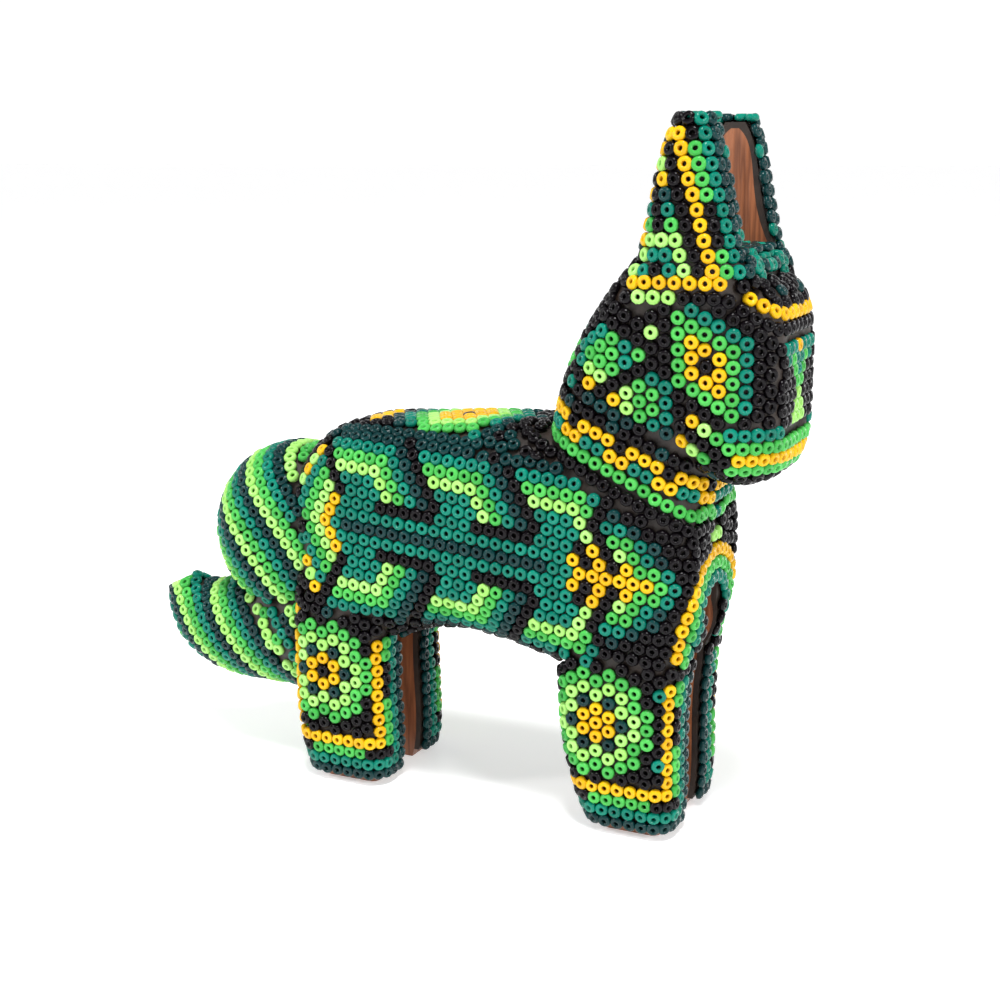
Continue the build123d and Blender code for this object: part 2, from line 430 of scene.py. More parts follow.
@dataclass
class Skin:
    """The outward face of all the bead coats together, in millimetres.

    Args:
        corners: the corners of its triangles, an array of (triangles, 3, 3).
        owner: for each triangle, the number of its coat in names.
        names: the coats' names.
    """

    corners: np.ndarray
    owner: np.ndarray
    names: list[str]
    tree: BVHTree = field(init=False)

    def __post_init__(self) -> None:
        """Makes the search tree."""
        count = len(self.corners)
        faces = np.arange(count * 3).reshape(count, 3)
        self.tree = BVHTree.FromPolygons(self.corners.reshape(-1, 3).tolist(), faces.tolist())

    @staticmethod
    def triangles(name: str) -> np.ndarray:
        """The triangles of one of the frame's solids, in millimetres."""
        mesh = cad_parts[name].data
        mesh.calc_loop_triangles()
        points = np.zeros(len(mesh.vertices) * 3)
        mesh.vertices.foreach_get("co", points)
        index = np.zeros(len(mesh.loop_triangles) * 3, np.int32)
        mesh.loop_triangles.foreach_get("vertices", index)
        return points.reshape(-1, 3)[index].reshape(-1, 3, 3) / MM

    @classmethod
    def from_frame(cls) -> "Skin":
        """Keeps, of every bead coat, the triangles that look straight away from the wax under them."""
        wax = np.concatenate([cls.triangles(n) for n in sorted(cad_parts) if n.startswith("wax")])
        index = np.arange(len(wax) * 3).reshape(-1, 3)
        under = BVHTree.FromPolygons(wax.reshape(-1, 3).tolist(), index.tolist())
        names = sorted(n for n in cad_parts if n.startswith("beads"))
        kept, owners = [], []
        for number, name in enumerate(names):
            corners = cls.triangles(name)
            middles = corners.mean(axis=1)
            below = np.array([tuple(under.find_nearest(m)[0]) for m in middles.tolist()])
            facing = unit(np.cross(corners[:, 1] - corners[:, 0], corners[:, 2] - corners[:, 0]))
            away = middles - below
            outward = (unit(away) * facing).sum(axis=1) > LEAST_FACING
            outer = outward & (np.linalg.norm(away, axis=1) > LEAST_DEPTH)
            kept.append(corners[outer])
            owners.append(np.full(int(outer.sum()), number))
        between = cls.between_ears()
        kept.append(between)
        owners.append(np.full(len(between), names.index("beads_head")))
        return cls(np.concatenate(kept), np.concatenate(owners), names)

    @staticmethod
    def between_ears() -> np.ndarray:
        """Two triangles over the sawn floor between the ears, one bead's height above the wood."""
        low, high = (np.array(corner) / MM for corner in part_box("beads_ear_right"))
        half, level = -high[1] - 0.4, low[2] + 1.1
        back, front = low[0] + 0.6, high[0] - 0.6
        a, b = (back, -half, level), (front, -half, level)
        c, d = (front, half, level), (back, half, level)
        return np.array([(a, b, c), (a, c, d)])

    def meet(self, starts: np.ndarray, directions: np.ndarray, far: float = 90.0) -> np.ndarray:
        """Where rays first meet the skin; rows that miss are not-a-number."""
        hits = [self.tree.ray_cast(s, d, far)[0] for s, d in zip(starts.tolist(), directions.tolist())]
        return np.array([tuple(h) if h is not None else (np.nan,) * 3 for h in hits])

    def settle(self, points: np.ndarray) -> tuple[np.ndarray, np.ndarray, np.ndarray]:
        """The nearest places on the skin, their outward normals and their owners."""
        found = [self.tree.find_nearest(p) for p in points.tolist()]
        places = np.array([tuple(f[0]) for f in found])
        normals = np.array([tuple(f[1]) for f in found])
        return places, unit(normals), self.owner[[f[2] for f in found]]

    def scatter(self, count: int, rng: np.random.Generator) -> np.ndarray:
        """Seeded points spread evenly over the area of the skin's near half."""
        a, b, c = self.corners[:, 0], self.corners[:, 1], self.corners[:, 2]
        near = self.corners[:, :, 1].mean(axis=1) < 0.6
        area = np.linalg.norm(np.cross(b - a, c - a), axis=1) * near
        pick = rng.choice(len(area), size=count, p=area / area.sum())
        u, v = np.sqrt(rng.random(count))[:, None], rng.random(count)[:, None]
        return a[pick] * (1 - u) + b[pick] * u * (1 - v) + c[pick] * u * v


@dataclass
class Wrap:
    """Slices through the figure, unrolled: a place is a station along an axis and a length round the slice.

    Args:
        skin: the surface.
        origin: the axis at station nought.
        lean: how the axis moves for each millimetre of station.
        zero: the direction of length nought.
        turn: the direction in which lengths grow.
        reach: how far round the rays go, in degrees.
        slot_side: the y beyond which a ray has left the block, if there is such a y.
        ray: the longest ray.
        cache: the slices made so far, by station.
    """

    skin: Skin
    origin: Triple
    lean: Triple
    zero: Triple
    turn: Triple
    reach: float = 100.0
    slot_side: float | None = None
    ray: float = 45.0
    cache: dict = field(default_factory=dict)

    def slice(self, station: float) -> tuple[np.ndarray, np.ndarray]:
        """Lengths and points round one slice.

        The points are where rays from the axis meet the skin. The lengths are the running sum of the steps
        between them, nought on the zero direction. The run stops at a miss or at a jump.
        """
        key = round(station, 2)
        if key not in self.cache:
            angles = np.radians(np.linspace(-self.reach, self.reach, 2 * RAYS + 1))[:, None]
            rays = np.cos(angles) * np.array(self.zero) + np.sin(angles) * np.array(self.turn)
            start = np.array(self.origin) + station * np.array(self.lean)
            points = self.skin.meet(np.repeat(start[None], len(rays), axis=0), rays, self.ray)
            bad = np.isnan(points[:, 0])
            if self.slot_side is not None:
                bad |= points[:, 1] > self.slot_side
            steps = np.linalg.norm(np.diff(points, axis=0), axis=1)
            broken = ~(steps < JUMP) | bad[1:] | bad[:-1]
            ahead = np.flatnonzero(broken[RAYS:])
            behind = np.flatnonzero(broken[:RAYS][::-1])
            last = RAYS + (ahead[0] if len(ahead) else RAYS)
            first = RAYS - (behind[0] if len(behind) else RAYS)
            run = points[first : last + 1]
            lengths = running(steps[first:last])
            if bad[RAYS] or len(run) < 3:
                run, lengths = np.zeros((0, 3)), np.zeros(0)
            else:
                lengths = lengths - lengths[RAYS - first]
            self.cache[key] = (lengths, run)
        return self.cache[key]

    def at(self, station: float, length: float) -> np.ndarray | None:
        """The place at a station and a length round, or None where there is no skin."""
        lengths, points = self.slice(station)
        if len(lengths) == 0 or not lengths[0] <= length <= lengths[-1]:
            return None
        return np.array([np.interp(length, lengths, points[:, axis]) for axis in range(3)])

    def ends(self, station: float) -> tuple[float, float] | None:
        """The lengths at which the slice starts and stops."""
        lengths, _ = self.slice(station)
        return (float(lengths[0]), float(lengths[-1])) if len(lengths) else None

    def length_where(self, station: float, axis: int, level: float) -> float | None:
        """The length beyond nought at which a coordinate passes a level, or None."""
        lengths, points = self.slice(station)
        if len(lengths) == 0:
            return None
        away = np.where(lengths >= 0, np.abs(points[:, axis] - level), np.inf)
        best = int(away.argmin())
        return float(lengths[best]) if away[best] < 0.6 else None


# --------------------------------------------------------------- the beadwork


@dataclass
class Beadwork:
    """All the beads laid so far, on the near half and its mirror image.

    Args:
        skin: the surface that they are pressed into.
        places: where they are.
        normals: which way they face.
        owners: the coats that they stand on.
        letters: the letters of their glasses.
    """

    skin: Skin
    places: np.ndarray = field(default_factory=lambda: np.zeros((0, 3)))
    normals: np.ndarray = field(default_factory=lambda: np.zeros((0, 3)))
    owners: list[str] = field(default_factory=list)
    letters: list[str] = field(default_factory=list)

    def lay(self, wanted: Cells, on_tail: bool) -> int:
        """Lays the beads of one field, in order, wherever there is still room.

        Args:
            wanted: places and letters; a place of None is passed over.
            on_tail: whether the field is the tail's, and keeps to it, or another, and keeps off it.

        Returns:
            How many beads were laid, mirror images left out.
        """
        cells = [(p, letter) for p, letter in wanted if p is not None and p[1] < ON_MIDDLE]
        points = np.array([p for p, _ in cells])
        points[np.abs(points[:, 1]) < ON_MIDDLE, 1] = 0.0
        places, normals, owners = self.skin.settle(points)
        kept = []
        near = self.places[self.places[:, 1] < BEAD_ACROSS + 0.3]
        for number, place in enumerate(places):
            if (self.skin.names[owners[number]] == "beads_tail") != on_tail:
                continue
            if len(near) == 0 or np.linalg.norm(near - place, axis=1).min() > CROWDED:
                near = np.vstack([near, place])
                kept.append(number)
        names = [self.skin.names[owners[n]] for n in kept]
        self._keep(places[kept], normals[kept], names, [cells[n][1] for n in kept])
        return len(kept)

    def _keep(self, places: np.ndarray, normals: np.ndarray, owners: list[str], letters: list[str]) -> None:
        """Adds beads and their mirror images."""
        flip = np.array([1.0, -1.0, 1.0])
        off = np.abs(places[:, 1]) > 0.2
        other = {"right": "left", "left": "right"}
        self.places = np.vstack([self.places, places, places[off] * flip])
        self.normals = np.vstack([self.normals, normals, normals[off] * flip])
        mirrored = []
        for owner, away in zip(owners, off):
            if away:
                head, _, side = owner.rpartition("_")
                mirrored.append(f"{head}_{other[side]}" if side in other else owner)
        self.owners += owners + mirrored
        self.letters += letters + [letter for letter, away in zip(letters, off) if away]

    def fill(self, letter_at: Callable[[str, np.ndarray, float], str], rng: np.random.Generator) -> int:
        """Fills what is left, each bead pushed up against those already there.

        Args:
            letter_at: gives the letter for an owner, a place and a random number.
            rng: the seeded source of the candidates.

        Returns:
            How many beads were laid, mirror images left out.
        """
        spots = self.skin.scatter(CANDIDATES, rng)
        spots = spots[(spots[:, 1] < -1.0) | (np.abs(spots[:, 1]) < FILL_ON_MIDDLE)]
        spots[np.abs(spots[:, 1]) < FILL_ON_MIDDLE, 1] = 0.0
        room = np.full(len(spots), np.inf)
        for start in range(0, len(self.places), 64):
            block = self.places[start : start + 64]
            room = np.minimum(room, np.linalg.norm(spots[:, None] - block[None], axis=2).min(axis=1))
        chosen = []
        spots, room = spots[room >= FILL_APART], room[room >= FILL_APART]
        while len(spots):
            chosen.append(spots[room.argmin()])
            room = np.minimum(room, np.linalg.norm(spots - chosen[-1], axis=1))
            spots, room = spots[room >= FILL_APART], room[room >= FILL_APART]
        places, normals, owners = self.skin.settle(np.array(chosen))
        names = [self.skin.names[o] for o in owners]
        draws = rng.random(len(names))
        letters = [letter_at(n, p, d) for n, p, d in zip(names, places, draws)]
        self._keep(places, normals, names, letters)
        return len(names)


@dataclass
class Field:
    """A field of the pattern, worked out on the skin.

    Args:
        skin: the surface.
    """

    skin: Skin


@dataclass
class Flank(Field):
    """The long star field on the side of the trunk.

    Args:
        pitch: from bead to bead along a row.
        row: from row to row.
        first_x: where column nought starts, in length along the middle row.
        middle: x and z of a point of the middle row.
        fall: how far the rows drop for each millimetre forward.
        rump: for each row outward from the middle one, the letters behind column nought.
        repeat: the letters of one star.
        shoulder: the letters in front of the two stars.
    """

    pitch: float = 2.15
    row: float = 1.96
    first_x: float = -11.53
    middle: tuple[float, float] = (-17.56, 45.6)
    fall: float = 0.083
    rump: tuple[str, ...] = ("YTGLYTDD", "LTGLYTT", "YTGLYT", "LTGLB", "YTGB", "LTB", "YB", "B", "", "")
    repeat: tuple[str, ...] = (
        "DDDDDDDD",
        "TTTTTTTT",
        "TTBBBBBT",
        "TTTLGTDB",
        "TTTLGTDB",
        "LLLLGTDB",
        "GGGGGTDB",
        "TTTTTTDB",
        "DDDDDDDB",
        "BBBBBBBB",
    )
    shoulder: tuple[str, ...] = (
        "TYYYYYYGT",
        "TYBYBYGGT",
        "TTBYBLGTD",
        "TTTLBGGTD",
        "TTTLBTTDB",
        "LLLLGBDBB",
        "GGGGGTBBB",
        "TTTTTTBBB",
        "DDDDDDBBB",
        "BBBBBBBBB",
    )

    def chart(self) -> dict[tuple[int, int], str]:
        """The letter of each column and row; rows below the middle repeat those above."""
        cells = {}
        for row, (rump, unit_row, end) in enumerate(zip(self.rump, self.repeat, self.shoulder)):
            start = -len(rump)
            for column, letter in enumerate(rump + unit_row * 2 + end, start=start):
                cells[(column, row)] = letter
        cells[(15, 0)] = "T"  # the arrow starts one bead early
        return cells

    def beads(self) -> Cells:
        """Places and letters of the field."""
        origin = (0.0, 0.0, self.middle[1] + self.fall * self.middle[0])
        wrap = Wrap(self.skin, origin, (1.0, 0.0, -self.fall), NEAR, UP, reach=88.0)
        stations = np.arange(-26.0, 46.0, 0.2)
        line = [(s, wrap.at(float(s), 0.0)) for s in stations]
        line = [(s, p) for s, p in line if p is not None]
        steps = np.linalg.norm(np.diff(np.array([p for _, p in line]), axis=0), axis=1)
        known = np.array([s for s, _ in line])
        along = running(steps)
        along -= np.interp(0.0, known, along)
        cells = self.chart()
        for row in range(-11, 10):
            for column in range(-9, 27):
                length = self.first_x + self.pitch * (column - 0.5 * (abs(row) - 3))
                if along[0] <= length <= along[-1]:
                    station = float(np.interp(length, along, known))
                    letter = cells.get((column, abs(row)), "B")
                    yield wrap.at(station, self.row * row), "D" if row > 8 and column < 16 else letter


@dataclass
class Leg(Field):
    """One leg: a frame of bands along the foot and the slot, and a rosette on the side.

    Args:
        centre: x and z of the rosette's middle bead.
        eye: the letter of that bead.
        bands: distances of the frame's bands from the slot's edge.
        back_line: the furthest forward, in length round the leg, that the back yellow line may come.
        rows: the heights of the bands along the foot.
        file: from one upright file of the rosette to the next.
        pitch: from bead to bead up a file.
        top: where the upright bands end.
        half_width: how far the leg's axis is from the middle plane.
        letters: the letters of the bands, from the edge inward.
    """

    centre: tuple[float, float]
    eye: str
    bands: tuple[float, ...]
    back_line: float
    rows: tuple[float, ...] = (2.0, 3.95, 5.9, 7.8)
    file: float = 2.08
    pitch: float = 2.25
    top: float = 25.6
    half_width: float = 8.5
    letters: str = "DTBY"

    def wrap(self) -> Wrap:
        """Level slices round the leg."""
        origin = (self.centre[0], -self.half_width, 0.0)
        return Wrap(self.skin, origin, UP, NEAR, FORWARD, reach=172.0, slot_side=-3.3, ray=19.0)

    def band_letter(self, band: int, step: int) -> str:
        """The letter of a bead in the upright part of a band; the third band is green and black in turn."""
        return "GGGGBBB"[step % 7] if band == 2 else self.letters[band]

    def frame_beads(self) -> Cells:
        """The bands: level along the foot, upright along both edges of the slot."""
        wrap = self.wrap()
        for band, height in enumerate(self.rows):
            ends = wrap.ends(height)
            if ends is None:
                continue
            inset = self.bands[band]
            low, high = ends[0] + inset, ends[1] - inset
            count = max(1, round((high - low) / 2.1))
            for step, length in enumerate(np.linspace(low, high, count + 1)):
                letter = self.letters[band]
                if band == 2 and abs(step - count / 2) < 2.2:
                    letter = "G"
                yield wrap.at(height, float(length)), letter
            for step, level in enumerate(np.arange(height + 2.1, self.top, 2.1)):
                edge = wrap.ends(float(level))
                if edge is None:
                    continue
                letter = self.band_letter(band, step)
                back = min(edge[0], self.back_line - self.bands[-1])
                yield wrap.at(float(level), edge[1] - inset), letter
                yield wrap.at(float(level), back + inset), letter

    def rosette_letter(self, file: int, half: int) -> str:
        """The letter of a cell of the side, by its ring round the eye and its place in the ring."""
        across, up = abs(file), abs(half)
        ring = max(across, (across + up) // 2)
        corner = (across == ring and up == ring) or (across == 0 and up == 2 * ring)
        rings = "YLGBTB" if corner else "YDLGBB"
        return (self.eye + rings)[min(ring, len(rings))]

    def side_beads(self) -> Cells:
        """The rosette and the black round it."""
        wrap = self.wrap()
        for file in range(-9, 10):
            for half in range(-9, 9):
                if (file + half) % 2 == 0:
                    level = self.centre[1] + 0.5 * self.pitch * half
                    yield wrap.at(level, self.file * file), self.rosette_letter(file, half)


@dataclass
class Head(Field):
    """The cheeks, the brow, the face, the muzzle and the nape.

    Args:
        file: from one upright file of the cheek to the next.
        step: half of the way from bead to bead down a file.
        level: where the cheek's files start.
        face_pitch: from bead to bead across the face.
        axis_x: where the axis of the slices is.
    """

    file: float = 2.0
    step: float = 1.13
    level: float = 81.0
    face_pitch: float = 2.2
    axis_x: float = 43.3

    def side(self) -> Wrap:
        """Level slices of the head, lengths growing forward from the middle of the cheek."""
        return Wrap(self.skin, (self.axis_x, 0.0, 0.0), UP, NEAR, FORWARD, reach=90.0)

    def front(self) -> Wrap:
        """Level slices of the head, lengths growing sideways from the middle of the face."""
        return Wrap(self.skin, (self.axis_x, 0.0, 0.0), UP, FORWARD, NEAR, reach=170.0)

    def cheek_chart(self) -> dict[tuple[int, int], str]:
        """Nested arrow heads, whiskers and two flowers, by file and half step down."""
        files = {
            0: "0G 2G 4G 6G 8G 16Y",
            1: "-1T 1G 3Y 5Y 7Y 9G 13Y 17L",
            2: "0T 2G 4Y 6B 8Y 10G 14L 18G",
            3: "1T 3G 5Y 7Y 9Y 11G 15G",
            4: "2T 4G 6G 8G 10G 12G 16G 18G",
            5: "3T 5T 7T 9T 11T 17T",
            -1: "9T 11T 13T",
            -2: "2L 8T 10G 12G 14T",
            -3: "5G 9G 11G 13G",
            -4: "4T 6T 10L 12L",
            -5: "3G 5G 7G 11Y",
            -6: "2T 4G 6G 8L",
            -7: "3T 5G 7L 9Y",
            -8: "4T 6T",
            -9: "9T 11T 13T",
            -10: "2T 4G 6G 10G 12G",
            -11: "3G 5G 7G 11L 13L",
            -12: "4L 6L 12Y",
            -13: "5Y",
        }
        return {(file, int(w[:-1])): w[-1] for file, words in files.items() for w in words.split()}

    def cheek(self) -> Cells:
        """The side of the head."""
        wrap = self.side()
        cells = self.cheek_chart()
        for file in range(-17, 9):
            for half in range(-2, 21):
                if (file + half) % 2 == 0:
                    ground = "D" if file < 0 and half > 10 else "B"
                    place = wrap.at(self.level - self.step * half, self.file * file)
                    yield place, cells.get((file, half), ground)

    @staticmethod
    def brow_level(x: float) -> float:
        """The height of the brow: level along the side, falling to the front."""
        return 85.9 - 4.4 * float(np.clip((x - 50.0) / 7.0, 0.0, 1.0))

    def brow(self) -> Cells:
        """The yellow line over the eyes and the dark line under it."""
        wrap = self.front()
        for drop, letters in ((0.0, "Y"), (2.15, "B")):
            last = None
            for length in np.arange(0.0, 40.0, 0.15):
                place = wrap.at(84.0 - drop, float(length))
                for _ in range(4):
                    if place is not None:
                        place = wrap.at(self.brow_level(float(place[0])) - drop, float(length))
                if place is None or place[0] < 34.5:
                    continue
                if last is not None and np.linalg.norm(place - last) < 2.12:
                    continue
                last = place
                yield place, "L" if drop and 36.5 < place[0] < 42.9 else letters

    def face(self) -> Cells:
        """The diamond between the eyes, the nose and the rings round the muzzle."""
        wrap = self.front()
        rows = (
            (80.0, 0.0, "TTTTT"),
            (78.2, 0.5, "TYTT"),
            (76.3, 0.0, "YTTT"),
            (74.7, 0.5, "TGTB"),
            (73.0, 0.0, "TGBB"),
            (71.3, 0.5, "GBBB"),
            (69.5, 0.0, "LBBB"),
            (67.7, 0.5, "LBBB"),
            (66.0, 0.0, "LLBB"),
        )
        for height, shift, letters in rows:
            for step, letter in enumerate(letters):
                yield wrap.at(height, self.face_pitch * (step + shift)), letter
        for height, letter in ((64.6, "T"), (62.6, "G"), (60.7, "Y"), (59.0, "G")):
            for step in range(0, 9):
                place = wrap.at(height, 2.08 * step)
                if place is not None and place[0] > 50.3:
                    yield place, letter


@dataclass
class Ear(Field):
    """The outer face of an ear: a nested flame between two yellow lines.

    Args:
        rows: the letters of each row down from the tip, from back to front.
        top: the height of the first row.
        spacing: from row to row.
        across: from bead to bead along a row.
        front_x: where the front yellow line is at the second row, and how far forward it moves a row.
    """

    rows: tuple[str, ...] = (
        "BB",
        "YY",
        "YBY",
        "YLBY",
        "YBYBY",
        "YBDBY",
        "YTBTBY",
        "YGBGBY",
        "YLLLBY",
        "LTTLBY",
        "LTBTLBY",
    )
    top: float = 108.4
    spacing: float = 2.08
    across: float = 2.12
    front_x: tuple[float, float] = (42.4, 0.655)

    def beads(self) -> Cells:
        """Rows down from the tip, each run back from the front yellow line and a little round the edge."""
        wrap = Wrap(self.skin, (41.6, -9.4, 0.0), UP, NEAR, FORWARD, reach=110.0, ray=16.0)
        for number, letters in enumerate(self.rows):
            height = self.top - self.spacing * number
            line = wrap.length_where(height, 0, self.front_x[0] + self.front_x[1] * (number - 1))
            if line is None:
                continue
            for step, letter in enumerate(reversed(letters)):
                yield wrap.at(height, line - self.across * step), letter
            edge = "GTD" if number in (2, 3, 4, 5, 9, 10) else "BTD"
            for step, letter in enumerate(edge, start=1):
                yield wrap.at(height, line + self.across * step), letter


@dataclass
class Collar(Field):
    """Three rings round the neck, dipping to the front.

    Args:
        dip: how far they dip, in degrees.
        centre: x and z of the middle of the top ring.
    """

    dip: float = 25.0
    centre: tuple[float, float] = (33.5, 61.85)

    def beads(self) -> Cells:
        """A ring of three yellow and one black, a ring of two teal and two yellow, a green ring."""
        tilt = math.radians(self.dip)
        sine, cosine = math.sin(tilt), math.cos(tilt)
        origin = (self.centre[0], 0.0, self.centre[1])
        wrap = Wrap(self.skin, origin, (sine, 0.0, cosine), (cosine, 0.0, -sine), NEAR, reach=178.0)
        rings = (
            (0.0, 0.0, "YYYB"),
            (2.1, 0.5, "TTYY"),
            (4.25, 0.0, "GGGG"),
            (-2.1, 0.5, "BDBB"),
            (6.3, 0.5, "BBBB"),
        )
        for drop, shift, letters in rings:
            for step in range(26):
                yield wrap.at(-drop, 2.1 * (step + shift)), letters[step % 4]


@dataclass
class Chest(Field):
    """The arches over the slot of the front legs and the few beads of colour above them.

    Args:
        slot_half: half the width of the slot.
        spring: the height at which the arches start to bend.
        foot: the height at which they end.
        tops: for each arch, how far it is from the slot, the height of its crown and its letter.
    """

    slot_half: float = 3.6
    spring: float = 34.0
    foot: float = 26.2
    tops: tuple[tuple[float, float, str], ...] = ((3.0, 40.2, "T"), (5.2, 42.3, "G"), (7.4, 44.4, "Y"))

    def beads(self) -> Cells:
        """Each arch is a quarter ellipse from its crown down to the spring, then straight down."""
        for offset, top, letter in self.tops:
            wide = self.slot_half + offset
            angles = np.radians(np.linspace(0.0, 90.0, 60))
            heights = self.spring + (top - self.spring) * np.cos(angles)
            curve = np.stack([wide * np.sin(angles), heights], axis=1)
            path = np.vstack([curve, [[wide, self.foot - 1.0]]])
            lengths = running(np.linalg.norm(np.diff(path, axis=0), axis=1))
            for length in np.arange(0.0, lengths[-1], 2.1):
                across = float(np.interp(length, lengths, path[:, 0]))
                height = float(np.interp(length, lengths, path[:, 1]))
                yield self.onto(across, height), letter
        for across, height, letter in ((1.05, 46.9, "L"), (0.0, 50.3, "T"), (2.1, 50.3, "G")):
            yield self.onto(across, height), letter

    def onto(self, across: float, height: float) -> np.ndarray | None:
        """The place on the front of the chest at a height, to one side of the middle."""
        hit = self.skin.meet(np.array([[70.0, -across, height]]), np.array([[-1.0, 0.0, 0.0]]))[0]
        return None if np.isnan(hit[0]) else hit


@dataclass
class Back(Field):
    """The diamond on the back and the rows round it.

    Args:
        centre_x: where the middle of the diamond is.
        pitch: from bead to bead along a row.
        row: from row to row.
    """

    centre_x: float = 3.5
    pitch: float = 2.15
    row: float = 1.96

    def letter(self, column: float, row: int) -> str:
        """The letter by the ring of the diamond, or by the yellow point behind it."""
        ring = max(abs(row), round(abs(column) + abs(row) / 2))
        if ring <= 6:
            return "BYYLGTD"[ring]
        return "Y" if abs(column + 7) + abs(row) / 2 < 1.2 else "B"

    def beads(self) -> Cells:
        """Rows along the ridge and down both sides of it."""
        wrap = Wrap(self.skin, (self.centre_x, 0.0, 45.0), FORWARD, UP, NEAR, reach=90.0)
        for row in range(7):
            for column in range(-13, 9):
                along = column + 0.5 * (row % 2)
                yield wrap.at(self.pitch * along, self.row * row), self.letter(along, row)


@dataclass
class Tail(Field):
    """One-bead stripes in tilted planes, from the root to the tip.

    Args:
        axes: x and z of both ends of the lines from which the rings are reached.
    """

    axes: tuple[tuple[float, float, float, float], ...] = (
        (-36.8, 40.0, -51.0, 14.0),
        (-33.0, 20.0, -45.0, 16.0),
    )

    def beads(self) -> Cells:
        """Rings of beads in planes that face back and down."""
        facing = np.array(TAIL_FACING)
        for start_x, start_z, end_x, end_z in self.axes:
            start = np.array([start_x, 0.0, start_z])
            run = np.array([end_x - start_x, 0.0, end_z - start_z])
            lean = tuple(run / float(run @ facing))
            wrap = Wrap(self.skin, tuple(start), lean, (-0.6, 0.0, 0.8), NEAR, reach=179.0)
            offset = TAIL_FIRST - float(start @ facing)
            for ring in range(-14, 28):
                station = offset + TAIL_STRIPE * ring
                for step in range(30):
                    yield wrap.at(station, 2.12 * (step + 0.5 * (ring % 2))), TAIL_LETTERS[ring % 4]


def filler_letter(owner: str, place: np.ndarray, draw: float) -> str:
    """The glass of a bead between the fields, by where it is.

    Args:
        owner: the coat under it.
        place: where it is, in millimetres.
        draw: a random number from nought to one.

    Returns:
        The chart letter.
    """
    if owner == "beads_tail":
        ring = round((float(place @ np.array(TAIL_FACING)) - TAIL_FIRST) / TAIL_STRIPE)
        return TAIL_LETTERS[ring % 4]
    if owner.startswith("beads_ear"):
        return "D" if draw < 0.6 else "T"
    if owner == "beads_belly":
        return "DTG"[int(draw * 3)]
    if owner == "beads_head" and place[2] > 86.5 and abs(place[1]) < 9.5:
        return "T" if draw < 0.45 else "D"
    if owner == "beads_rump":
        return "Y" if draw < 0.15 else "B"
    return "D" if draw < 0.06 else "B"


# ------------------------------------------------------------------ the pieces


@dataclass
class BeadShape:
    """One seed bead: a closed ring with a rounded wall and an open hole.

    Args:
        profile: radius and height of the wall's corners, from the belt up, over the rim and down the hole.
        depth: for each corner, how much painted shade it takes: nought on the rim and one down the hole or
            in the crease.
        sides: how many sides the ring has.
        sunk: how far the bead's middle is under the coat's outer face.
        tilt: the spread of its lean, in radians.
    """

    profile: tuple[tuple[float, float], ...] = (
        (1.04, -0.20),
        (0.98, 0.28),
        (0.72, 0.58),
        (0.38, 0.50),
        (0.28, -0.70),
    )
    # painted shade for each corner of the profile
    depth: tuple[float, ...] = (0.30, 0.0, 0.0, 0.22, 1.0)
    sides: int = 12
    sunk: float = 0.62
    tilt: float = 0.055

    def ring(self) -> np.ndarray:
        """The points of one bead: each corner of the profile turned round the hole's axis."""
        angles = np.arange(self.sides) * 2 * np.pi / self.sides
        radius = np.array([r for r, _ in self.profile])[None, :, None]
        height = np.array([h for _, h in self.profile])[None, :, None]
        around = np.stack([np.cos(angles), np.sin(angles)], axis=1)[:, None, :]
        flat = radius * around
        return np.concatenate([flat, np.broadcast_to(height, flat[..., :1].shape)], axis=2).reshape(-1, 3)

    def faces(self) -> np.ndarray:
        """The four-sided faces of one bead, wound so that they face outward."""
        corners = len(self.profile)
        side, level = np.meshgrid(np.arange(self.sides), np.arange(corners), indexing="ij")
        after, above = (side + 1) % self.sides, (level + 1) % corners
        quad = ((side, level), (after, level), (after, above), (side, above))
        return np.stack([s * corners + c for s, c in quad], axis=-1).reshape(-1, 4)

    def piece(
        self, name: str, places: np.ndarray, normals: np.ndarray, rng: np.random.Generator
    ) -> bpy.types.Object:
        """Makes one mesh of many beads.

        Each bead's axis is the surface's normal tilted a few degrees, and its size is a few hundredths off.
        Its points are the ring's points turned into that axis and moved to its place.

        Args:
            name: the piece's name.
            places: where the beads are, on the outer face of the coat, in millimetres.
            normals: which way they face.
            rng: the seeded source of their small differences.

        Returns:
            The object, with the attributes tone and depth on its points, the second giving the painted
            shade.
        """
        count = len(places)
        axis = unit(normals + rng.normal(0.0, self.tilt, (count, 3)))
        side = unit(np.cross(axis, np.where(np.abs(axis[:, 2:]) > 0.9, [[1.0, 0, 0]], [[0, 0, 1.0]])))
        up = np.cross(axis, side)
        spin = rng.random(count)[:, None] * 2 * np.pi / self.sides
        first = side * np.cos(spin) + up * np.sin(spin)
        second = np.cross(axis, first)
        belt = 2 * self.profile[0][0]
        size = (BEAD_ACROSS / belt * rng.normal(1.0, 0.022, count).clip(0.94, 1.04))[:, None]
        height = rng.normal(1.0, 0.05, count).clip(0.88, 1.1)[:, None]
        ring = self.ring()
        centre = places - normals * (self.sunk + rng.normal(0.03, 0.04, count).clip(0, 0.12)[:, None])
        points = (
            centre[:, None]
            + (first * size)[:, None] * ring[None, :, :1]
            + (second * size)[:, None] * ring[None, :, 1:2]
            + (axis * height)[:, None] * ring[None, :, 2:]
        )
        faces = self.faces()[None] + (np.arange(count) * len(ring))[:, None, None]
        mesh = bpy.data.meshes.new(name)
        mesh.from_pydata((points.reshape(-1, 3) * MM).tolist(), [], faces.reshape(-1, 4).tolist())
        mesh.shade_smooth()
        tone = mesh.attributes.new("tone", "FLOAT", "POINT")
        tone.data.foreach_set("value", np.repeat(rng.random(count), len(ring)).astype(np.float32))
        # painted shade per corner: darkest down the hole, some in the crease at the belt, none on the rim
        depth = mesh.attributes.new("depth", "FLOAT", "POINT")
        pattern = np.tile(np.array(self.depth, np.float32), self.sides)
        depth.data.foreach_set("value", np.tile(pattern, count))
        return add(name, mesh)


